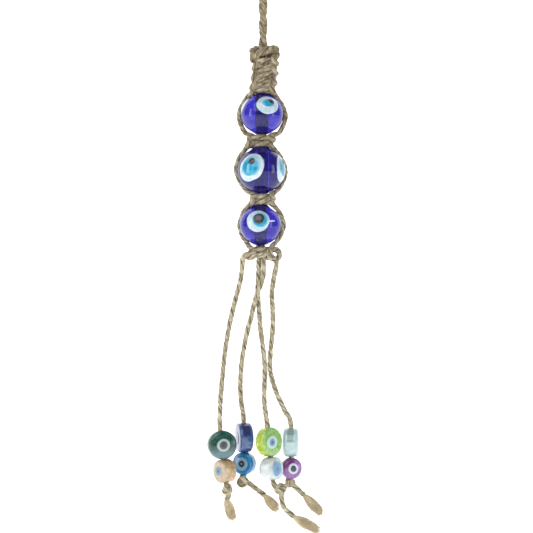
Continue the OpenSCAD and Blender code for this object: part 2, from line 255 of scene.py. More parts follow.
class Paint:
    """One material and its nodes."""

    def __init__(self, name, **surface):
        self.material = bpy.data.materials.new(name)
        self.material.use_nodes = True
        self.tree = self.material.node_tree
        self.shader = self.tree.nodes["Principled BSDF"]
        for socket, value in surface.items():
            self.shader.inputs[socket.replace("_", " ")].default_value = value

    def maths(self, operation, a, b):
        return self.node("ShaderNodeMath", {"operation": operation}, {0: a, 1: b})

    def node(self, kind, settings=None, inputs=None, out=0):
        made = self.tree.nodes.new(kind)
        for key, value in (settings or {}).items():
            if key == "stops":
                ramp = made.color_ramp.elements
                while len(ramp) < len(value):
                    ramp.new(0.5)
                for element, (at, colour) in zip(ramp, value):
                    element.position, element.color = at, (*colour, 1)
            else:
                setattr(made, key, value)
        for key, value in (inputs or {}).items():
            self.link(value, made.inputs[key])
        return Sock(self, made.outputs[out])

    def link(self, value, socket):
        if isinstance(value, Sock):
            self.tree.links.new(value.socket, socket)
        else:
            socket.default_value = value

    def place(self, kind="Object", scale=(1, 1, 1)):
        """Object or UV coordinates, scaled."""
        where = self.node("ShaderNodeTexCoord", out=kind)
        return self.node("ShaderNodeMapping", {}, {0: where, 3: scale})

    def noise(self, place, scale, detail=3.0, roughness=0.55, distortion=0.0):
        return self.node("ShaderNodeTexNoise", {},
                         {"Vector": place, "Scale": scale, "Detail": detail,
                          "Roughness": roughness, "Distortion": distortion})

    def ramp(self, value, *stops):
        return self.node("ShaderNodeValToRGB", {"stops": stops}, {0: value})

    def step(self, value, low, high):
        """0 below low, 1 above high and smooth between them."""
        return self.node("ShaderNodeMapRange", {"interpolation_type": "SMOOTHSTEP"},
                         {0: value, 1: low, 2: high, 3: 0.0, 4: 1.0})

    def mix(self, mask, a, b):
        pick = [c if isinstance(c, Sock) else (*c, 1) for c in (a, b)]
        return self.node("ShaderNodeMix", {"data_type": "RGBA"},
                         {0: mask, 6: pick[0], 7: pick[1]}, out=2)

    def bump(self, height, strength, distance):
        bumped = self.node("ShaderNodeBump", {}, {"Height": height, "Strength": strength,
                                                  "Distance": distance})
        self.link(bumped, self.shader.inputs["Normal"])

    def feed(self, **sockets):
        for socket, value in sockets.items():
            self.link(value, self.shader.inputs[socket.replace("_", " ")])
        return self.material


# %% [markdown]
# ## Hemp
# Undyed hemp is a warm grey-beige with darker and greener streaks, because every fibre has taken
# up the retting water in its own way. The streaks are noise that is stretched along the thread's
# UV map. The creases lie at whole and half turns of the map, where no light gets in, and are
# darkened with painted shade. The hanging loop and the upper knotting cords get the darkest tone,
# the other knotting cords and the cores a lighter one, and the tails and their knots the lightest.
# The surface is dull, with the soft edge that sheen gives.

# %% Hemp material
def toned(colour, tone):
    return tuple(c * t for c, t in zip(colour, tone))


def hemp_material(name, *stops, tone=(1, 1, 1), crease=0.85):
    """Hemp of these colours times a tone, with painted shade of strength crease where yarns meet.
    """
    stops = [(at, toned(colour, tone)) for at, colour in stops]
    paint = Paint(name, Roughness=0.88, Sheen_Weight=0.15, Sheen_Roughness=0.5)
    fibres = paint.noise(paint.place("UV", (9, 3.4, 1)), 1.0, 3.0, 0.65)
    strands = paint.noise(paint.place("UV", (3.2, 5.5, 1)), 1.0, 2.0, 0.5)
    cloud = paint.noise(paint.place("Object", (1, 1, 1)), 160.0, 2.0)
    tan = paint.ramp(fibres * 0.6 + strands * 0.4, *stops)
    olive = paint.mix(paint.step(cloud, 0.48, 0.70) * 0.45, tan, toned((0.36, 0.33, 0.20), tone))
    where = paint.node("ShaderNodeTexCoord", out="UV")
    around = paint.node("ShaderNodeSeparateXYZ", {}, {0: where}, out="X")
    from_crease = paint.maths("PINGPONG", around, 0.25)
    # painted shade: the grooves where the two yarns meet are mixed towards a dark brown
    shade = (1 - paint.step(from_crease + (fibres - 0.5) * 0.10, 0.0, 0.085)) * crease
    paint.bump(fibres + strands, 0.9, 0.3 * MM)
    return paint.feed(Base_Color=paint.mix(shade, olive, (0.062, 0.044, 0.025)))


FLAX = ((0.36, (0.110, 0.080, 0.044)), (0.45, (0.330, 0.265, 0.165)),
        (0.54, (0.580, 0.500, 0.345)), (0.66, (0.840, 0.770, 0.600)))
HEMP = hemp_material("hemp_twine", *FLAX, tone=(0.84, 0.87, 0.86))
# the darkest tone, for the hanging loop and the upper knotting cords
DARKEST_HEMP = hemp_material("darkest_hemp_twine", *FLAX, tone=(0.60, 0.575, 0.54))
KNOTTED = hemp_material("knotted_hemp_twine", *FLAX, tone=(0.68, 0.69, 0.70))
COMBED = hemp_material("combed_hemp", (0.35, (0.200, 0.120, 0.050)), (0.43, (0.560, 0.430, 0.230)),
                       (0.52, (0.860, 0.730, 0.480)), (0.64, (1.0, 0.94, 0.72)), crease=0.0)


# %% [markdown]
# ## Clear cobalt glass
# The big beads are wound from transparent cobalt rod. Light comes through them, so the shader
# transmits, and the colour is that of one wall passed. Faint lighter and darker bands follow the
# winding of the rod round the hole.

# %% Glass materials
def cobalt_material():
    paint = Paint("cobalt_glass", Roughness=0.07, IOR=1.5, Transmission_Weight=0.82,
                  Specular_IOR_Level=0.25)
    bands = paint.noise(paint.place("Object", (60, 60, 260)), 1.6, 3.0, 0.6, 0.6)
    cloud = paint.noise(paint.place("Object", (90, 90, 90)), 1.3, 2.0)
    blue = paint.ramp(bands, (0.32, (0.014, 0.008, 0.26)), (0.50, (0.030, 0.020, 0.42)),
                      (0.68, (0.052, 0.040, 0.52)))
    deep = paint.mix(paint.step(cloud, 0.50, 0.68) * 0.5, blue, (0.020, 0.018, 0.20))
    return paint.feed(Base_Color=deep)


def opaque_glass(name, *stops, scale=220.0, roughness=0.09):
    """Glossy opaque glass whose colour wanders between the given stops."""
    paint = Paint(name, Roughness=roughness, IOR=1.5, Coat_Weight=0.6, Coat_Roughness=0.04,
                  Subsurface_Weight=0.08, Subsurface_Scale=0.0012)
    swirl = paint.noise(paint.place(), scale, 3.0, 0.5, 1.5)
    pits = paint.noise(paint.place("Object"), 2600.0, 2.0)
    paint.bump(pits, 0.12, 0.05 * MM)
    return paint.feed(Base_Color=paint.ramp(swirl, *stops))


COBALT = cobalt_material()
MILK = opaque_glass("milk_glass", (0.35, (0.40, 0.53, 0.61)), (0.6, (0.56, 0.67, 0.72)))
BLACK = opaque_glass("black_glass", (0.35, (0.012, 0.014, 0.018)), (0.62, (0.045, 0.050, 0.058)),
                     scale=900.0, roughness=0.3)


def iris_material():
    """Sky blue that melts into the white round it, by the distance from the middle of the dot."""
    paint = Paint("iris_glass", Roughness=0.09, IOR=1.5, Coat_Weight=0.6, Coat_Roughness=0.04)
    where = paint.node("ShaderNodeTexCoord", out="UV")
    from_middle = paint.node("ShaderNodeVectorMath", {"operation": "DISTANCE"},
                             {0: where, 1: (0.5, 0.5, 0)}, out="Value")
    drift = paint.noise(paint.place("UV", (1, 1, 1)), 3.5, 2.0)
    height = paint.node("ShaderNodeSeparateXYZ", {}, {0: where}, out="Y")
    edge = paint.step(from_middle + (drift - 0.5) * 0.14 + (height - 0.45) * 0.12, 0.25, 0.53)
    sky = paint.ramp(drift, (0.40, (0.004, 0.27, 0.46)), (0.60, (0.022, 0.36, 0.54)))
    return paint.feed(Base_Color=paint.mix(edge, sky, (0.40, 0.56, 0.65)))


IRIS = iris_material()


# %% [markdown]
# ## The hanging loop and the tails
# Each is a free cord, and its length is printed. The legs of the loop are twisted
# round each other above the knots, part above the twist, and make a teardrop for the nail.

# %% Hanging loop
SWING_Z = -55.8
HALF_TURN = 8.6
TWIST_TOP = SWING_Z + 3 * HALF_TURN
TWIST_OFFSET = 1.0
CORE_X = 1.03
UPPER_X, MIDDLE_X, LOWER_X = 0.0, -0.4, -0.7
LOOP_LEFT = [(-2.4, 0, -26.5), (-4.4, 0, -21.5), (-6, 0, -16), (-6.9, 0, -10.5), (-6.2, 0, -5),
             (-3.7, 0, -0.7)]


def leg(z, side):
    turn = math.pi * (SWING_Z - z) / HALF_TURN
    c = math.cos(turn)
    across = math.copysign(abs(c) ** 0.7, c) * TWIST_OFFSET * 0.76
    return (0.4 + side * across, side * TWIST_OFFSET * math.sin(turn), z)


heights = np.linspace(SWING_Z - 3, TWIST_TOP, 26)
loop_points = ([leg(z, 1) for z in heights] + LOOP_LEFT + [(0, 0, 1)]
               + [(-x, y, z) for x, y, z in reversed(LOOP_LEFT)]
               + [leg(z, -1) for z in reversed(heights)])
loop_route = smooth_route(loop_points)
build = Build()
add_twine(build, loop_route, seed=1, radius=1.16)
hanging_loop = build.finish("hanging_loop_twine", DARKEST_HEMP)
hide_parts("hanging_loop")
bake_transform(hanging_loop)
print("loop cord, mm:", round(route_length(loop_route), 1))

# %% [markdown]
# The four tails leave the bottom knot. The outer two leave it sideways and turn down at once. The
# two in the middle are the core cords, and they cross before they reach the height where they can
# swing. The last two points of every route are the straight stretch through the tail's two disc
# beads.

# %% Tail routes
STAGGER = 4.5
TAILS = {
    1: [(3, -0.9, -144.4), (2.2, -2.1, -145.1), (0, -2.4, -145.5), (-2.4, -2.2, -146),
        (-4.6, -1.4, -146.2), (-6.6, -0.6, -146.1), (-8.1, -0.1, -146.9), (-8.5, 0, -149.4),
        (-9.2, -0.5, -156), (-11, -1, -163), (-13, -1.8, -171), (-14.6, -2.5, -179),
        (-16, -3.2, -188), (-16.9, -3.8, -197), (-17.7, -4.2, -206), (-18, -STAGGER, -213),
        (-18, -STAGGER, -219), (-15.5, -STAGGER, -243)],
    2: [(0.35, -0.3, -142.6), (0.6, -0.7, -147.3), (0.4, -1.2, -155), (-1.6, -1.3, -161),
        (-3.2, -1.2, -166), (-4.2, -0.9, -170), (-4.6, -0.6, -172.2), (-6, 0, -177),
        (-7.8, 1.2, -185.5), (-9, 2.4, -194), (-9.4, 3.4, -202), (-9, 4.2, -209.5),
        (-8, STAGGER, -217), (-7.6, STAGGER, -240.7)],
    3: [(-1.5, 0.3, -142.6), (-1.4, 0.8, -147.3), (-1.6, 1.4, -155), (-1.9, 1.4, -161),
        (-1.6, 1.2, -166), (-1.25, 0.9, -170), (-1.1, 0.6, -172.2), (-0.8, 0, -177),
        (0.4, -1.2, -185.5), (1.2, -2.4, -194), (1, -3.4, -202), (1, -4.2, -209.5),
        (2.2, -STAGGER, -218), (4.7, -STAGGER, -243)],
    4: [(2, 1.2, -145), (4, 1.1, -146.4), (5.6, 0.7, -147.6), (6.2, 0.2, -149.6),
        (5.7, 0.3, -152.4), (5, 0.6, -156), (4.2, 1.2, -163),
        (4.7, 1.8, -172), (4.4, 2.4, -180), (3.6, 3, -188), (3.6, 3.4, -196), (6, 4, -204.5),
        (9.6, 4.3, -212.5), (12.4, STAGGER, -219), (12.6, STAGGER, -242.2)],
}
tail_routes = {n: smooth_route(points) for n, points in TAILS.items()}

# %% [markdown]
# ## Stopper knots and frayed ends
# An overhand knot under the lower disc keeps both discs on the tail. It is the plain trefoil of
# the textbooks, opened at one side, where the cord comes in from above and leaves below. Past the
# knot the twine has been cut and combed out, so its last centimetre is a brush of loose fibres.

# %% Stopper knot helper
KNOT_RING = 1.15
KNOT_WAVE = 0.80
# For each tail: middle of the knot, its turn about the cord, the points of the loose end that
# follows it, and where the brush ends.
ENDS = {
    1: ((-13.9, -4.5, -245.7), 20, [(-14.1, -4.5, -248.4), (-15.3, -4.6, -250.4)],
        (-12.2, -4.6, -259.6)),
    2: ((-8, 4.3, -243.2), 60, [(-5.2, 4.1, -244.6), (-1.7, 3.6, -247.2), (1.2, 3.2, -249.4)],
        (7, 2.8, -256.4)),
    3: ((7.3, -4.5, -246), 150, [(8.3, -4.5, -249.4), (9.4, -4.4, -253.6), (13.4, -4, -257.6)],
        (25.2, -3.6, -264.4)),
    4: ((11.6, 4.5, -243.6), 250, [(13.4, 4.2, -245), (15.6, 3.9, -247), (18, 3.6, -249.2)],
        (26.4, 3, -258.2)),
}


def stopper_route(entry, middle, turn, loose):
    """The cord from the end of a tail through its knot to the start of its brush."""
    t = np.linspace(2 * math.pi - 0.42, 0.42, 30)
    ring = KNOT_RING + KNOT_WAVE * np.cos(3 * t)
    flat = np.column_stack([ring * np.cos(2 * t) - 0.6, -0.95 * np.sin(3 * t),
                            ring * np.sin(2 * t)])
    flat[:, 1] += np.linspace(-0.6, 0.6, 30)
    a = math.radians(turn)
    turned = np.column_stack([flat[:, 0] * math.cos(a) - flat[:, 1] * math.sin(a),
                              flat[:, 0] * math.sin(a) + flat[:, 1] * math.cos(a), flat[:, 2]])
    knot = np.array(middle, float) + turned
    return smooth_route([tuple(entry)] + [tuple(p) for p in knot[::2]] + loose, 0.3)


def add_brush(build, start, end, seed, count=190, wide=2.6):
    """Combed fibres: they swell to a paddle past the cut and close again towards the tip."""
    rng = random.Random(seed)
    length = float(np.linalg.norm(end - start))
    way = (end - start) / length
    side = np.cross(way, (0, 1, 0))
    side /= np.linalg.norm(side)
    other = np.cross(way, side)
    for _ in range(count):
        around = rng.uniform(0, 2 * math.pi)
        out = math.cos(around) * side + 0.6 * math.sin(around) * other
        spread = rng.uniform(0.1, 1) ** 0.55
        swell = spread * wide
        # fibres at the edge of the brush end sooner, so that its tip is round
        reach = length * rng.triangular(0.60, 1.03, 0.97) * (1 - 0.14 * spread**3)
        t = np.linspace(0, 1, 9)[:, None]
        open_up = 0.30 + 0.70 * np.sin(np.pi * (t * 0.74 + 0.06)) ** 1.3
        stray = np.array([rng.uniform(-0.05, 0.05) for _ in range(3)])
        wave = np.sin(t * rng.uniform(2, 7) + rng.uniform(0, 6)) * rng.uniform(0.03, 0.16)
        fibre = (start - way * 1.1 + way * (reach + 1.1) * t
                 + out * swell * open_up * (0.25 + 0.75 * t**0.5)
                 + stray * reach * t**2 + np.cross(out, way) * wave * t)
        thick = rng.uniform(0.08, 0.17)
        build.add_tube(fibre, np.linspace(thick, thick * 0.5, 9), 4, seed=rng.randrange(40))


# %% Tails, knots and brushes
for n, (middle, turn, loose, tip) in ENDS.items():
    route = tail_routes[n]
    build = Build()
    knot_route = stopper_route(route[-1], middle, turn, loose)
    add_twine(build, knot_route, seed=30 + n, radius=1.1, hair=1.3)
    knot = build.finish(f"stopper_knot_{n}", HEMP)
    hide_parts(f"tail_knot_{n}")
    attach(knot, f"tail_{n}")
    build = Build()
    add_brush(build, knot_route[-1], np.array(tip, float), seed=50 + n)
    fray = build.finish(f"frayed_end_{n}", COMBED)
    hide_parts(f"tail_fray_{n}")
    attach(fray, f"tail_{n}")
    print(f"tail {n}: {route_length(route):.1f} mm, its knot: {route_length(knot_route):.1f} mm")

tails = {}
for n, route in tail_routes.items():
    build = Build()
    thick = TWINE_R
    if n == 1:  # this tail has swollen where it turns down, because it isn't pulled tight there
        from_turn = ((route[:, 0] + 6) / 2.4) ** 2 + ((route[:, 2] + 146) / 2) ** 2
        thick = TWINE_R + 0.8 * np.exp(-from_turn)
    add_twine(build, route, seed=10 + n, phase=n * 0.9, radius=thick)
    tail = build.finish(f"tail_{n}_twine", HEMP)
    tails[n] = tail

# For each tail: the middle of its bend in mm, the CAD nodes it stands for, and how far above and
# below the bend the twine still gives, in m.
BENDS = {
    1: ((-8.4, 0, -148.4), ("tail_cord_1",), 0.0016, 0.0030),
    4: ((6.2, 0, -148.4), ("tail_cord_4",), 0.0016, 0.0030),
    2: ((-4.2, -0.9, -170), ("tail_cord_2", "tail_top_2"), 0.0034, 0.0034),
    3: ((-1.25, 0.9, -170), ("tail_cord_3", "tail_top_3"), 0.0034, 0.0034),
}
for n, (bend, nodes, above, below) in BENDS.items():
    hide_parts(*nodes)
    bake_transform(tails[n])

# %% [markdown]
# ## Square knots
# Each half of a square knot carries one cord straight across the front of the core and the other
# across the back, and each passes through the loop that the other makes at the side. The next
# half starts from the other side. The two routes below are that half knot, for a front cord that
# travels to side s, and everything tied on this ornament is made by chaining them.

# %% Half knot routes
def half_knot(middle, s, width=1.0, depth=1.0, dip=1.0):
    """Points of the front cord and of the back cord of one half knot."""
    front = [(-3 * s, -0.9, 1), (-2.2 * s, -2.1, 0.25), (0, -2.4, 0), (2.2 * s, -2.1, -0.1),
             (3.3 * s, -0.9, -0.5), (3.6 * s, 0.4, -1)]
    back = [(3.3 * s, -2.6, 0.9), (3.45 * s, -3.1, 0), (3.9 * s, -2.2, -0.9), (4 * s, -0.3, -1.2),
            (3.3 * s, 1.4, -0.9), (1.8 * s, 2.2, -0.3), (0, 2.35, 0), (-2 * s, 2.1, 0.1),
            (-3.2 * s, 0.8, -0.1), (-3.4 * s, -0.9, -0.6), (-3.35 * s, -1.9, -0.9)]
    place = np.array(middle, float)
    return [[tuple(place + np.array((x * width, y * depth, z * dip))) for x, y, z in points]
            for points in (front, back)]


def knot_chain(middles, s, **shape):
    """Routes of both cords through a row of half knots that start to side s and then alternate."""
    fronts, backs = [], []
    for middle in middles:
        front, back = half_knot(middle, s, **shape)
        fronts += front
        backs += back
        s = -s
    return fronts, backs


def bow(start, end, out, back):
    """Five points of a cord bowed sideways round a bead between two points."""
    a, b = np.array(start, float), np.array(end, float)
    return [tuple(a + (b - a) * t + np.array((out, back, 0)) * math.sin(math.pi * t))
            for t in (0.04, 0.25, 0.5, 0.75, 0.96)]


# %% Sinnet, joining knots and the cords round the beads
SINNET_TOP = -62.3
SINNET_PITCH = 2.1
SINNET_LEAN = (1.3, 1.3, 1.2, 1, 0.7, 0.4, 0.3)  # x of each half knot: the column leans
SINNET = [(x, 0, SINNET_TOP - SINNET_PITCH * k) for k, x in enumerate(SINNET_LEAN)]
# Both cords start behind the twisted pair and come over its shoulders. The one that comes over the
# right shoulder crosses the front to the left, and the other goes down the left side and back.
front_start = [(1, 2.2, -58.4), (3, 2.1, -57.2), (4.9, 1.4, -56.9), (5.9, -0.2, -57.2),
               (5.3, -2, -57.5), (3.4, -3.1, -57.5), (0.8, -3.4, -58.3), (-1.4, -3.1, -59.4),
               (-2.7, -1.8, -60.6)]
back_start = [(-0.2, 2.4, -58.4), (-2.2, 1.9, -57.2), (-3.6, 0.6, -57.5), (-4, -1.4, -58.6),
              (-3.9, -2.3, -60.4), (-3.9, -1, -61.8), (-3.1, 1.2, -61.8), (-1.4, 2.3, -61.1),
              (1, 2.5, -60.2), (4, 1.8, -59), (5.9, 0.2, -59.1), (6.1, -1.6, -60.1),
              (5.4, -2.7, -60.9)]
sinnet_front, sinnet_back = knot_chain(SINNET, 1, width=1.16)
JOINING_UPPER = [(-0.8, 0, -95.2), (-0.9, 0, -97.9)]
JOINING_LOWER = [(0, 0, -120.6), (0, 0, -122.75)]
upper_front, upper_back = knot_chain(JOINING_UPPER, 1, width=1.36, dip=0.8)
lower_front, lower_back = knot_chain(JOINING_LOWER, 1, width=1.18, dip=0.8)
left_upper = bow((-5.7, 0, -77.1), (-6.9, 0.8, -93.6), -3.6, 2.6)
right_upper = bow((5.8, 0.4, -77.2), (6.6, 0.8, -93.8), 3.9, 2)
left_middle = bow((-7.1, 0.6, -100), (-6.3, 0.6, -118.3), -4.5, 1.6)
right_middle = bow((5.4, 0.8, -100), (6.2, 0.8, -118.3), 4.3, 4)
left_lower = bow((-6.5, 0.8, -125), (-6.2, 0.8, -141), -3.4, 3.4)
right_lower = bow((5.8, 0.6, -125), (5.6, 0.6, -140.6), 3.6, 1.4)

knotting_routes = {
    "knotting_cord_upper_left": back_start + sinnet_back[:-1] + left_upper + upper_front,
    "knotting_cord_upper_right": front_start + sinnet_front + right_upper + upper_back,
    "knotting_cord_middle_left": [upper_front[-2], upper_front[-1]] + left_middle + lower_front,
    "knotting_cord_middle_right": [upper_back[-2], upper_back[-1]] + right_middle + lower_back,
    "knotting_cord_lower_left": [lower_front[-2], lower_front[-1]] + left_lower + [
        (-4.7, -1, -142.9), (-2.6, -2.1, -143.3), (0.2, -2.4, -143.3), (2.2, -2, -143.3),
        (4, -0.9, -143.5), (5.9, -0.4, -143.3), (7.2, -0.2, -144.4), (7.3, -0.2, -146.2),
        (6.2, -0.5, -147.6), (4.6, -0.6, -147.2), (3.8, 0.8, -146)],
    "knotting_cord_lower_right": [lower_back[-2], lower_back[-1]] + right_lower + [
        (4, -2.2, -142), (3.4, -3.4, -143.6), (3.3, -3.4, -145.4), (3.5, -1.9, -146.8),
        (2.6, 1.2, -146.6), (0, 2.4, -145.8), (-2.8, 2, -145), (-4.6, 0.4, -144.4),
        (-4.3, -1.7, -144.2), (-2.6, -1.2, -144.2)],
}
KNOT_NODES = {"knotting_cord_upper_left": ("sinnet", "side_cord_upper_left"),
              "knotting_cord_upper_right": ("sinnet", "side_cord_upper_right",
                                            "joining_knot_upper"),
              "knotting_cord_middle_left": ("side_cord_middle_left", "joining_knot_lower"),
              "knotting_cord_middle_right": ("side_cord_middle_right", "joining_knot_lower"),
              "knotting_cord_lower_left": ("side_cord_lower_left", "gathering_knot"),
              "knotting_cord_lower_right": ("side_cord_lower_right", "gathering_knot")}
SINNET_END = -77
KNOT_MIDDLES = (-96.6, -121.7, -145)
FIRST_KNOT = -58


def knotted_radius(z):
    """Loosely laid twine is thicker where it's knotted, and most of all in the first knot."""
    in_knot = (1 / (1 + np.exp((SINNET_END - z) * 1.6))) + sum(
        np.exp(-(((z - middle) / 2.6) ** 4)) for middle in KNOT_MIDDLES)
    return 1.0 + 0.28 * np.minimum(in_knot, 1) + 0.32 * np.exp(-(((z - FIRST_KNOT) / 2.4) ** 2))


# Below a joining knot the twine gives over a few mm: the bodies above and below it, then x and z.
FLEX = {"middle": ("upper_cage", "middle_cage", -1.4, -97.6),
        "lower": ("middle_cage", "lower_cage", 0, -122.4)}
for seed, (name, points) in enumerate(knotting_routes.items(), 60):
    build = Build()
    route = smooth_route(points, 0.34)
    add_twine(build, route, seed=seed, radius=knotted_radius(route[:, 2]))
    cord = build.finish(name, DARKEST_HEMP if "upper" in name else KNOTTED)
    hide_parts(*KNOT_NODES[name])
    if "upper" in name:
        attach(cord, "upper_cage")
    else:
        above, below, x, z = FLEX["middle" if "middle" in name else "lower"]
        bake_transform(cord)
    print(name, f"{route_length(route):.1f} mm")

# %% [markdown]
# The core is the other cord, still folded in two. Its halves run side by side through the knots
# and the bores of the beads. It is cut at the middles of the knots, where it can't be seen, so
# that each length rides with its own bead.

# %% Core cords
CORES = {"upper": (((0.4, 0, -58.4), (0.7, 0, -62), (0.8, 0, -71), (0.2, 0, -77.6), (0, 0, -84),
                    (-0.2, 0, -93.6), (-0.9, 0, -96.7)),
                   "core_cords_upper"),
         "middle": (((-0.9, 0, -96.6), (-0.5, 0, -99.6), (MIDDLE_X, 0, -109), (-0.3, 0, -119),
                     (-0.2, 0, -121.6)), "core_cords_middle"),
         "lower": (((-0.2, 0, -121.5), (-0.6, 0, -124.4), (LOWER_X, 0, -133), (-0.7, 0, -141),
                    (-0.5, 0, -144)), "core_cords_lower")}
for seed, (level, (line, node)) in enumerate(CORES.items(), 80):
    build = Build()
    for side in (-1, 1):
        route = smooth_route([(x + side * CORE_X * 0.95, y, z) for x, y, z in line])
        add_twine(build, route, seed=seed * 2 + side, radius=0.97, hair=0.3)
    core = build.finish(f"core_cord_{level}", KNOTTED)
    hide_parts(node)
    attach(core, f"{level}_cage")


# %% [markdown]
# ## The big eye beads
# A bead wound on a steel rod is a ball with a hole, and a small lip stands round each mouth of
# the hole. The section is a circle cut off at the bore and closed by a straight line. The two
# corners are bevelled into the lips, and one turn of Spin makes the solid.

# %% Bead helpers
BIG_BORE = 2.3
WIDER = 1.025  # the balls sagged a little while they were hot


def deselect():
    if bpy.context.object and bpy.context.object.mode != "OBJECT":
        bpy.ops.object.mode_set(mode="OBJECT")
    bpy.ops.object.select_all(action="DESELECT")


def apply_modifier(piece, kind, **settings):
    modifier = piece.modifiers.new(kind.lower(), kind)
    for key, value in settings.items():
        setattr(modifier, key, value)
    deselect()
    piece.select_set(True)
    bpy.context.view_layer.objects.active = piece
    bpy.ops.object.modifier_apply(modifier=modifier.name)


def settle(piece):
    """Put the piece's place into its mesh."""
    deselect()
    piece.select_set(True)
    bpy.context.view_layer.objects.active = piece
    bpy.ops.object.transform_apply(location=True, rotation=True, scale=True)


def lumps(name, size):
    texture = bpy.data.textures.new(name, "CLOUDS")
    texture.noise_scale = size
    return texture


def round_bead(name, middle, radius, lump, neck):
    """A wound glass ball with a hole down its axis, in mm."""
    deselect()
    bpy.ops.mesh.primitive_circle_add(vertices=96, radius=radius * MM, rotation=(math.pi / 2, 0, 0))
    bead = bpy.context.object
    bead.name = name
    bpy.ops.object.transform_apply(location=True, rotation=True, scale=True)
    bpy.ops.object.mode_set(mode="EDIT")
    bpy.ops.mesh.select_all(action="SELECT")
    bpy.ops.mesh.bisect(plane_co=(BIG_BORE * MM, 0, 0), plane_no=(1, 0, 0), clear_inner=True)
    bpy.ops.object.mode_set(mode="OBJECT")
    for vertex in bead.data.vertices:
        vertex.select = abs(vertex.co.x - BIG_BORE * MM) < 1e-6
    bpy.ops.object.mode_set(mode="EDIT")
    bpy.ops.mesh.select_mode(type="VERT")
    bpy.ops.mesh.edge_face_add()
    bpy.ops.mesh.bevel(offset=0.55 * MM, segments=6, affect="VERTICES")
    bpy.ops.mesh.select_all(action="SELECT")
    bpy.ops.mesh.spin(steps=96, angle=2 * math.pi, center=(0, 0, 0), axis=(0, 0, 1))
    bpy.ops.mesh.select_all(action="SELECT")
    bpy.ops.mesh.remove_doubles(threshold=0.02 * MM)
    bpy.ops.mesh.normals_make_consistent(inside=False)
    bpy.ops.mesh.faces_shade_smooth()
    bpy.ops.object.mode_set(mode="OBJECT")
    # the glass rises to a lip round each mouth and dips outside it, and the lower lip is smaller
    for vertex in bead.data.vertices:
        away = math.hypot(vertex.co.x, vertex.co.y) / MM
        lip = neck * math.exp(-(((away - BIG_BORE) / 1.3) ** 2))
        pull = lip - 0.3 * math.exp(-(((away - 5.2) / 1.4) ** 2))
        if abs(vertex.co.z) > 0.6 * radius * MM:
            vertex.co.z += (pull if vertex.co.z > 0 else -0.35 * pull) * MM
    bead.location = [c * MM for c in middle]
    bead.scale = (WIDER, WIDER, 1)
    settle(bead)
    apply_modifier(bead, "DISPLACE", texture=lumps(name, 7 * MM), strength=lump * MM,
                   mid_level=0.5, texture_coords="LOCAL")
    return bead


# %% [markdown]
# ## Eyes
# An eye is three dabs of hot glass, one on another, that sink in until they hardly stand proud. A
# dab starts as a round primitive. Its points are then laid on the surface of the bead, so that it
# curves with the bead and melts into it at the rim. Its own UV map, seen from above, carries the
# blend from blue to white.

# %% Dab helper
DAB_RIM = 0.12  # mm that the rim of a dab lies under the surface, so that no gap shows


def basis(turn, tilt):
    """Outward, rightward and upward directions of a dab that is turned right and tilted up."""
    a, b = math.radians(turn), math.radians(tilt)
    out = np.array([math.sin(a) * math.cos(b), -math.cos(a) * math.cos(b), math.sin(b)])
    right = np.array([math.cos(a), math.sin(a), 0.0])
    return out, right, np.cross(out, right)


def dab(name, middle, surface, turn, tilt, size, proud, depth=0.7, roll=0.0, wobble=0.04, seed=0,
        flat=False, stretch=1.0):
    """A dab of glass, size = (half width, half height) in mm, on a ball or on a flat face."""
    deselect()
    bpy.ops.mesh.primitive_uv_sphere_add(segments=48, ring_count=20, radius=1)
    piece = bpy.context.object
    piece.name = name
    bpy.ops.object.mode_set(mode="EDIT")
    bpy.ops.mesh.select_all(action="SELECT")
    bpy.ops.mesh.faces_shade_smooth()
    bpy.ops.object.mode_set(mode="OBJECT")
    mesh = piece.data
    unit = np.empty(len(mesh.vertices) * 3)
    mesh.vertices.foreach_get("co", unit)
    unit = unit.reshape(-1, 3)
    layer = mesh.uv_layers[0]
    loops = np.empty(len(mesh.loops), dtype=int)
    mesh.loops.foreach_get("vertex_index", loops)
    layer.data.foreach_set("uv", (0.5 + 0.5 * unit[loops, :2]).ravel())
    out, right, up = basis(turn, tilt)
    theta = np.arctan2(unit[:, 1], unit[:, 0])
    rng = random.Random(seed)
    edge = 1 + sum(wobble / k * np.cos(k * theta + rng.uniform(0, 6.28)) for k in (2, 3, 5))
    c, s = math.cos(math.radians(roll)), math.sin(math.radians(roll))
    a, b = unit[:, 0] * size[0] * edge, unit[:, 1] * size[1] * edge
    p, q = a * c - b * s, a * s + b * c
    height = unit[:, 2]
    dome = np.maximum(height, 0) ** 0.8 * (proud + DAB_RIM)
    rise = np.where(height > 0, dome, height * depth) - DAB_RIM
    if flat:
        place = p[:, None] * right + q[:, None] * up + (surface + rise)[:, None] * out
    else:
        reach = np.hypot(p, q)
        angle = reach / surface
        tangent = (p[:, None] * right + q[:, None] * up) / np.maximum(reach, 1e-9)[:, None]
        place = ((surface + rise)[:, None]
                 * (np.cos(angle)[:, None] * out + np.sin(angle)[:, None] * tangent))
    place = place * (stretch, stretch, 1)
    mesh.vertices.foreach_set("co", ((place + np.array(middle)) * MM).ravel())
    mesh.update()
    deselect()
    piece.select_set(True)
    bpy.context.view_layer.objects.active = piece
    bpy.ops.object.mode_set(mode="EDIT")
    bpy.ops.mesh.select_all(action="SELECT")
    bpy.ops.mesh.normals_make_consistent(inside=False)
    bpy.ops.object.mode_set(mode="OBJECT")
    return piece


def join(name, pieces, material):
    deselect()
    for piece in pieces:
        piece.select_set(True)
    bpy.context.view_layer.objects.active = pieces[0]
    bpy.ops.object.join()
    joined = bpy.context.object
    joined.name = name
    joined.data.materials.clear()
    joined.data.materials.append(material)
    return joined


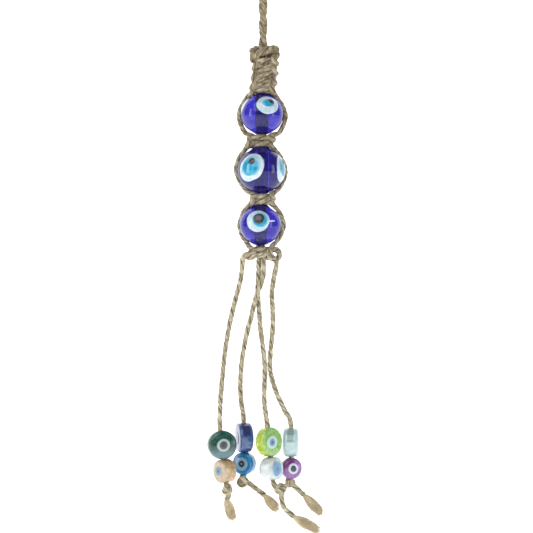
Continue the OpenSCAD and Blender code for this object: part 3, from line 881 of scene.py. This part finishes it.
# %% Big beads with their eyes
# For each bead: middle, radius, height of the neck, the turns of its three eyes, and the white,
# blue and black dabs of an eye. A dab is turn, tilt, half width, half height and roll.
BIG = {
    "upper": ((UPPER_X, 0, -85.1), 8.9, 0.2, (0, 120, 240), (20, 26, 5.4, 4.5, 10),
              (20, 29, 3.7, 2.7, 12), (30.5, 33, 1.45, 1.4, 0)),
    "middle": ((MIDDLE_X, 0, -109.3), 10.0, 0.8, (0, 103, 231), (-28, 6, 5.9, 6.9, -28),
               (-27, 8.5, 5.1, 5.8, -28), (-24.5, 20, 1.75, 1.7, 0)),
    "lower": ((LOWER_X, 0, -132.8), 8.7, 0.6, (0, 120, 240), (-8, 12, 5.3, 5.0, 0),
              (-2.5, 14.5, 4.25, 4.1, 0), (-4.2, 17, 2.62, 2.6, 0)),
}
for level, (middle, radius, neck, turns, *dabs) in BIG.items():
    bead = round_bead(f"glass_bead_{level}", middle, radius, 0.25, neck)
    bead.data.materials.append(COBALT)
    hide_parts(f"eye_bead_{level}")
    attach(bead, f"bead_{level}")
    layers = (("white", MILK, 0.22), ("iris", IRIS, 0.29), ("pupil", BLACK, 0.5))
    for (layer, material, proud), (turn, tilt, wide, high, roll) in zip(layers, dabs):
        three = [dab("dab", middle, radius, turn + more, tilt, (wide, high), proud, roll=roll,
                     seed=len(level) * 7 + more, stretch=WIDER) for more in turns]
        if (level, layer) == ("lower", "white"):
            three.append(dab("dab", middle, radius, 33, 11, (2.0, 0.4), 0.12, depth=0.3, roll=4,
                             stretch=WIDER))
        eyes = join(f"eye_{layer}s_{level}", three, material)
        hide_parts(f"eye_{layer}_{level}")
        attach(eyes, f"bead_{level}")

# %% [markdown]
# ## Disc beads
# The small beads are thick coins with a soft edge, and the cord runs through from edge to edge. A
# cylinder with a wide rounded bevel is the coin, its two faces are inset and raised into a
# shallow dome, and a Boolean drills the bore.

# %% Disc helpers
DISC_BORE = 1.3


def disc_place(tail, height, turn):
    """Middle and rotation of a disc on the straight stretch of its tail."""
    a, b = (np.array(p, float) for p in TAILS[tail][-2:])
    middle = a + (b - a) * (height - a[2]) / (b[2] - a[2])
    way = (b - a) / np.linalg.norm(b - a)
    lean = Matrix.Rotation(-math.asin(way[0]), 3, "Y")
    return middle, lean @ Matrix.Rotation(math.radians(turn), 3, "Z")


def disc_bead(name, middle, rotation, radius, thick, soft_edge, lump=0.2):
    deselect()
    bpy.ops.mesh.primitive_cylinder_add(vertices=80, radius=radius * MM, depth=thick * MM,
                                        rotation=(math.pi / 2, 0, 0))
    bead = bpy.context.object
    bead.name = name
    bpy.ops.object.transform_apply(location=True, rotation=True, scale=True)
    bpy.ops.object.mode_set(mode="EDIT")
    bpy.ops.mesh.select_mode(type="EDGE")
    bpy.ops.mesh.select_all(action="DESELECT")
    bpy.ops.object.mode_set(mode="OBJECT")
    for edge in bead.data.edges:
        ends = [bead.data.vertices[i].co for i in edge.vertices]
        edge.select = abs(ends[0].y - ends[1].y) < 1e-7
    bpy.ops.object.mode_set(mode="EDIT")
    bpy.ops.mesh.select_mode(type="EDGE")
    bpy.ops.mesh.bevel(offset=soft_edge * MM, segments=9, profile=0.5)
    bpy.ops.mesh.select_mode(type="FACE")
    bpy.ops.object.mode_set(mode="OBJECT")
    for side in (-1, 1):
        for face in bead.data.polygons:
            face.select = len(face.vertices) > 8 and face.center.y * side > 0
        bpy.ops.object.mode_set(mode="EDIT")
        for inset, rise in ((0.7, 0.07), (1.1, 0.05), (1.1, 0.02)):
            bpy.ops.mesh.inset(thickness=inset * MM)
            bpy.ops.transform.translate(value=(0, side * rise * MM, 0))
        bpy.ops.mesh.poke()
        bpy.ops.object.mode_set(mode="OBJECT")
    bpy.ops.object.mode_set(mode="EDIT")
    bpy.ops.mesh.select_all(action="SELECT")
    bpy.ops.mesh.subdivide(number_cuts=1)
    bpy.ops.mesh.remove_doubles(threshold=0.005 * MM)
    bpy.ops.object.mode_set(mode="OBJECT")
    deselect()
    # a hair off the middle, so that no edge of the drill meets an edge of the coin exactly
    bpy.ops.mesh.primitive_cylinder_add(vertices=36, radius=DISC_BORE * MM, depth=3 * radius * MM,
                                        location=(0.011 * MM, 0.007 * MM, 0),
                                        rotation=(0, 0, 0.031))
    drill = bpy.context.object
    apply_modifier(bead, "BOOLEAN", operation="DIFFERENCE", solver="EXACT", object=drill)
    bpy.data.objects.remove(drill)
    apply_modifier(bead, "DISPLACE", texture=lumps(name, 5 * MM), strength=lump * MM,
                   mid_level=0.5, texture_coords="LOCAL")
    bead.matrix_world = Matrix.Translation(Vector(middle) * MM) @ rotation.to_4x4()
    settle(bead)
    bpy.ops.object.shade_smooth_by_angle(angle=math.radians(50))
    return bead


# %% [markdown]
# ## Disc glass
# Every disc has its own glass. The pattern is laid out in the disc's own directions: across the
# face, through it and up along the cord. A Mapping node turns Object coordinates into those, in
# mm. Streaks, patches and specks are masks of noise, because the real ones were drawn by hand in
# hot glass. The pale bottom of the teal disc is a painted reflection of the bright floor.

# %% Disc materials
ROOM = 0.8  # the studio is bright, so glass colours are mixed a fifth darker


def tint(red, green, blue):
    """A screen colour, 0 to 255, as linear light for this room."""
    return tuple(ROOM * (c / 3294.6 if c <= 10 else ((c / 255 + 0.055) / 1.055) ** 2.4)
                 for c in (red, green, blue))


class DiscPaint(Paint):
    def __init__(self, name, middle, rotation):
        super().__init__(name, Roughness=0.08, IOR=1.5, Coat_Weight=0.7, Coat_Roughness=0.03)
        where = self.node("ShaderNodeTexCoord", out="Object")
        self.spot = self.node("ShaderNodeMapping", {"vector_type": "TEXTURE"},
                              {0: where, 1: Vector(middle) * MM, 2: rotation.to_euler(),
                               3: (MM, MM, MM)})
        axes = [self.node("ShaderNodeSeparateXYZ", {}, {0: self.spot}, out=axis) for axis in "XYZ"]
        self.across, self.through, self.up = axes

    def swirl(self, scale, stretch=(1, 1, 1), distortion=0.5, detail=2.0):
        place = self.node("ShaderNodeMapping", {}, {0: self.spot, 3: stretch})
        return self.noise(place, scale, detail, 0.5, distortion)

    def done(self, colour):
        pits = self.noise(self.spot, 2.6, 2.0)
        self.bump(pits, 0.10, 0.08 * MM)
        return self.feed(Base_Color=colour)


def teal_glass(p):
    base = p.ramp(p.swirl(0.33, (1, 1, 1.6)), (0.35, tint(20, 62, 48)), (0.55, tint(32, 92, 82)),
                  (0.75, tint(70, 120, 122)))
    # painted reflection: the bottom is mixed towards a pale grey-teal, as if it mirrored the floor
    low = p.step(p.up * -1 + p.swirl(0.4) * 2.4, 2.2, 5.0)
    with_painted_reflection = p.mix(low * 0.85, base, tint(98, 138, 146))
    return p.mix(p.step(p.swirl(0.7, (1, 1, 3)), 0.62, 0.72) * 0.6, with_painted_reflection, tint(8, 40, 34))


def navy_glass(p):
    base = p.ramp(p.swirl(0.35, (1, 1, 1)), (0.3, tint(54, 80, 144)), (0.7, tint(88, 118, 176)))
    patch = p.step(p.up + p.swirl(0.5) * 3, 2.4, 3.4) * p.step(p.through * p.through, 4.2, 1.6)
    return p.mix(patch * 0.85, base, tint(30, 34, 96))


def lime_glass(p):
    face = p.ramp(p.swirl(0.9), (0.35, tint(132, 188, 92)), (0.65, tint(170, 214, 136)))
    rim = p.ramp(p.swirl(0.3, (1, 3, 1), 1.2), (0.3, tint(160, 184, 10)),
                 (0.55, tint(178, 204, 38)), (0.64, tint(222, 232, 150)), (0.7, tint(172, 196, 24)))
    side = p.step(p.through * p.through, 3.2, 4.8)
    return p.mix(side, rim, face)


def aqua_glass(p):
    base = p.ramp(p.swirl(0.4), (0.3, tint(170, 206, 208)), (0.7, tint(206, 228, 230)))
    patch = (p.step(p.up + p.swirl(0.6) * 1.2, 0.9, 1.7)
             * p.step(p.through * p.through, 2.4, 1.3))
    return p.mix(patch * 0.8, base, tint(128, 160, 152))


def amber_glass(p):
    rim = p.ramp(p.swirl(0.34, (1, 2.2, 1), 2.4, 3.0), (0.30, tint(152, 104, 54)),
                 (0.46, tint(194, 154, 104)), (0.58, tint(210, 188, 150)),
                 (0.70, tint(170, 116, 60)))
    face = p.ramp(p.swirl(0.5), (0.3, tint(188, 158, 122)), (0.7, tint(208, 188, 158)))
    return p.mix(p.step(p.through * p.through, 2.6, 4.6), rim, face)


def azure_glass(p):
    face = p.ramp(p.swirl(0.4), (0.3, tint(6, 100, 160)), (0.65, tint(16, 140, 206)))
    bent = p.through + (p.swirl(0.3) - 0.5) * 1.6
    rim = p.ramp(bent * 0.2 + 0.5, (0.30, tint(14, 132, 198)), (0.42, tint(10, 86, 150)),
                 (0.50, tint(222, 236, 242)), (0.56, tint(10, 132, 150)),
                 (0.66, tint(18, 140, 206)))
    return p.mix(p.step(p.through * p.through, 3.0, 4.6), rim, face)


def white_glass(p):
    return p.ramp(p.swirl(0.5), (0.3, tint(188, 202, 204)), (0.6, tint(220, 226, 224)))


def purple_glass(p):
    base = p.ramp(p.swirl(0.45), (0.3, tint(132, 82, 158)), (0.7, tint(166, 116, 188)))
    patch = p.step(p.up * 0.8 - p.across * 0.6 + p.swirl(0.6) * 2.4, 2.6, 4.2)
    return p.mix(patch * 0.85, base, tint(112, 26, 104))


def ring_material(name, *stops, blur=0.06):
    """Rings round the middle of a dab, by the distance from its middle: 1 is its rim."""
    paint = Paint(name, Roughness=0.08, IOR=1.5, Coat_Weight=0.7, Coat_Roughness=0.03)
    where = paint.node("ShaderNodeTexCoord", out="UV")
    far = paint.node("ShaderNodeVectorMath", {"operation": "DISTANCE"},
                     {0: where, 1: (0.5, 0.5, 0)}, out="Value")
    drift = (paint.noise(where, 5.0, 2.0) - 0.5) * blur
    return paint.feed(Base_Color=paint.ramp(far * 2 + drift, *stops))


# %% All eight discs
# Tail, height, radius, thickness, bevel, turn to the right, eye half width and half height, glass,
# rings.
DISCS = {
    "teal": (1, -226.9, 6.25, 5.2, 1.6, 16, 3.0, 3.0, teal_glass,
             ((0.30, tint(10, 14, 16)), (0.36, tint(56, 88, 96)), (0.55, tint(40, 74, 84)),
              (0.63, tint(186, 196, 192)), (0.90, tint(176, 188, 186)), (0.97, tint(60, 96, 92)))),
    "navy": (2, -224.5, 6.3, 5.9, 0.9, -75, 3.0, 3.0, navy_glass,
             ((0.28, tint(20, 22, 40)), (0.34, tint(70, 90, 150)), (0.6, tint(120, 140, 190)),
              (0.95, tint(80, 104, 164)))),
    "lime": (3, -225.6, 6.25, 5.0, 1.1, 47, 3.4, 3.3, lime_glass,
             ((0.14, tint(28, 52, 92)), (0.20, tint(84, 142, 190)), (0.46, tint(96, 156, 196)),
              (0.56, tint(206, 226, 222)), (0.88, tint(190, 220, 190)),
              (0.97, tint(150, 204, 110)))),
    "aqua": (4, -226.6, 6.2, 6.6, 1.5, 87, 2.8, 2.8, aqua_glass,
             ((0.26, tint(30, 40, 60)), (0.32, tint(90, 150, 190)), (0.55, tint(240, 244, 244)),
              (0.95, tint(214, 230, 232)))),
    "amber": (1, -238.1, 5.0, 6.1, 0.9, -54, 2.9, 2.3, amber_glass,
              ((0.20, tint(84, 66, 58)), (0.30, tint(98, 130, 152)), (0.78, tint(118, 156, 178)),
               (0.92, tint(196, 196, 184)))),
    "azure": (2, -235.7, 4.95, 4.6, 1.1, -27, 3.0, 3.1, azure_glass,
              ((0.12, tint(120, 150, 170)), (0.20, tint(16, 34, 58)), (0.40, tint(22, 44, 74)),
               (0.50, tint(134, 168, 190)), (0.86, tint(142, 176, 196)),
               (0.98, tint(30, 112, 178)))),
    "white": (3, -237.0, 4.95, 6.5, 1.1, 58, 3.6, 3.4, white_glass,
              ((0.24, tint(92, 84, 82)), (0.34, tint(50, 136, 192)), (0.86, tint(62, 158, 208)),
               (0.98, tint(170, 206, 220)))),
    "purple": (4, -237.8, 4.67, 4.6, 1.7, 22, 2.35, 2.4, purple_glass,
               ((0.50, tint(24, 28, 78)), (0.56, tint(120, 130, 170)), (0.66, tint(228, 232, 240)),
                (0.92, tint(214, 216, 232)))),
}
DISC_DOME = 0.27  # mm that the face of a disc rises towards its middle
OFF_MIDDLE = {"lime": -0.9, "white": -0.9}  # these eyes were put on a little to one side
disc_pieces = {n: [] for n in TAILS}
for name, (tail, height, radius, thick, edge, turn, wide, high, glass, rings) in DISCS.items():
    middle, rotation = disc_place(tail, height, turn)
    bead = disc_bead(f"disc_bead_{name}", middle, rotation, radius, thick, edge)
    paint = DiscPaint(f"{name}_glass", middle, rotation)
    bead.data.materials.clear()
    bead.data.materials.append(paint.done(glass(paint)))
    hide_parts(f"disc_{name}")
    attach(bead, f"disc_{name}")
    lean = math.degrees(math.asin((rotation @ Vector((0, 0, 1))).x))
    aside = rotation @ Vector((OFF_MIDDLE.get(name, 0), 0, 0))
    pair = [dab("dab", np.array(middle) + aside, thick / 2 + DISC_DOME, turn + half, 0,
                (wide, high), 0.12, depth=0.5, seed=height + half, flat=True,
                roll=-lean if half == 0 else lean)
            for half in (0, 180)]
    eyes = join(f"disc_eyes_{name}", pair, ring_material(f"{name}_eye_glass", *rings))
    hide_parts(f"disc_{name}_eyes")
    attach(eyes, f"disc_{name}")
    disc_pieces[tail] += [bead, eyes]
print("discs:", {n: [p.name for p in pieces] for n, pieces in disc_pieces.items()})

# %% [markdown]

# %% [markdown]
# ## Floor, backdrop and light
# The floor curves up into the backdrop, so no line shows between them. Two tall soft boxes left
# and right draw the thin bright lines down the sides of the glass, and a large one above the
# camera lights everything evenly.

# %% Stage
deselect()
bpy.ops.mesh.primitive_plane_add(size=1, location=(0, 0, -0.29))
backdrop = bpy.context.object
backdrop.name = "backdrop"
backdrop.scale = (5, 3.4, 1)
backdrop.location.y = -0.7
bpy.ops.object.transform_apply(location=True, rotation=True, scale=True)
bpy.ops.object.mode_set(mode="EDIT")
bpy.ops.mesh.select_all(action="DESELECT")
bpy.ops.object.mode_set(mode="OBJECT")
for edge in backdrop.data.edges:
    edge.select = all(backdrop.data.vertices[i].co.y > 0.9 for i in edge.vertices)
bpy.ops.object.mode_set(mode="EDIT")
bpy.ops.mesh.select_mode(type="EDGE")
bpy.ops.mesh.extrude_region_move(TRANSFORM_OT_translate={"value": (0, 0, 2.4)})
bpy.ops.object.mode_set(mode="OBJECT")
for edge in backdrop.data.edges:
    ends = [backdrop.data.vertices[i].co for i in edge.vertices]
    edge.select = all(co.y > 0.9 and co.z < 0 for co in ends)
bpy.ops.object.mode_set(mode="EDIT")
bpy.ops.mesh.bevel(offset=0.5, segments=16)
bpy.ops.mesh.faces_shade_smooth()
bpy.ops.object.mode_set(mode="OBJECT")
paper = Paint("pale_paper", Roughness=0.9, Base_Color=(0.86, 0.86, 0.86, 1),
              Emission_Color=(1, 1, 1, 1), Emission_Strength=0.85)
backdrop.data.materials.append(paper.material)


def soft_box(name, place, target, size, power):
    deselect()
    bpy.ops.object.light_add(type="AREA", location=place)
    box = bpy.context.object
    box.name = name
    box.data.shape = "RECTANGLE"
    box.data.size, box.data.size_y = size
    box.data.energy = power
    box.rotation_euler = (Vector(target) - Vector(place)).to_track_quat("-Z", "Y").to_euler()


soft_box("soft_box_above", (-0.25, -0.75, 0.55), (0, 0, -0.15), (1.1, 0.9), 6)
soft_box("soft_box_left", (-0.85, -0.35, -0.10), (0, 0, -0.15), (0.25, 0.9), 2.4)
soft_box("soft_box_right", (0.80, -0.45, -0.15), (0, 0, -0.15), (0.25, 0.9), 2)
world = bpy.data.worlds.new("pale_room")
world.use_nodes = True
world.node_tree.nodes["Background"].inputs["Color"].default_value = (1, 1, 1, 1)
world.node_tree.nodes["Background"].inputs["Strength"].default_value = 0.24
bpy.context.scene.world = world
bpy.context.scene.view_settings.view_transform = "Standard"
